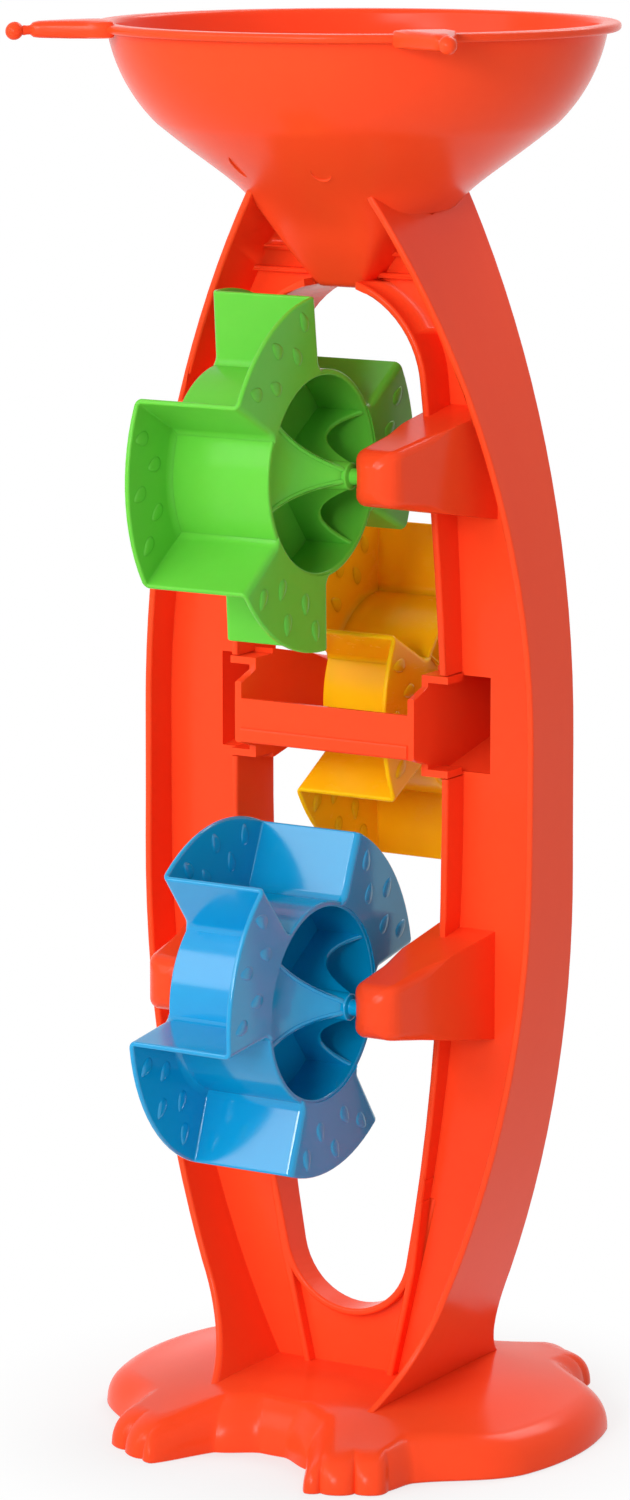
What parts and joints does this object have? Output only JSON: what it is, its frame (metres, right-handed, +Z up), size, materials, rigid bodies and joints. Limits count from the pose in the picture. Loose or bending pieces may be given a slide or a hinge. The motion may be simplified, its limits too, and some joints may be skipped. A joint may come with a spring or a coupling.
{
  "type": "sand wheel toy",
  "caption": "Upright sand and water toy: a funnel over a tall oval frame with free-turning paddle wheels between its legs, on a footed base.",
  "frame": {"origin": "on the floor under the middle of the whole toy, wheels included, which is 4.25 mm in front of the hoop's middle plane", "axes": "+Z up, +X along the wheels' axles to the toy's right, -Y towards the front, where the top and bottom wheels hang"},
  "size_m": [0.16, 0.1944, 0.4353],
  "materials": {
    "red_plastic": "satin gloss",
    "green_plastic": "satin gloss",
    "yellow_plastic": "satin gloss",
    "blue_plastic": "satin gloss"
  },
  "bodies": {
    "stand": {"base": "red_plastic", "hoop_frame": "red_plastic", "funnel": "red_plastic", "left_tool_hook": "red_plastic", "right_tool_hook": "red_plastic"},
    "top_wheel": {"top_wheel": "green_plastic"},
    "middle_wheel": {"middle_wheel": "yellow_plastic"},
    "bottom_wheel": {"bottom_wheel": "blue_plastic"}
  },
  "joints": [
    {"name": "top_wheel_spin", "type": "hinge", "parent": "stand", "child": "top_wheel", "pos_m": [0, -0.04425, 0.304], "axis": [1, 0, 0], "continuous": true},
    {"name": "middle_wheel_spin", "type": "hinge", "parent": "stand", "child": "middle_wheel", "pos_m": [0, 0.04425, 0.224], "axis": [1, 0, 0], "continuous": true},
    {"name": "bottom_wheel_spin", "type": "hinge", "parent": "stand", "child": "bottom_wheel", "pos_m": [0, -0.04425, 0.144], "axis": [1, 0, 0], "continuous": true}
  ]
}
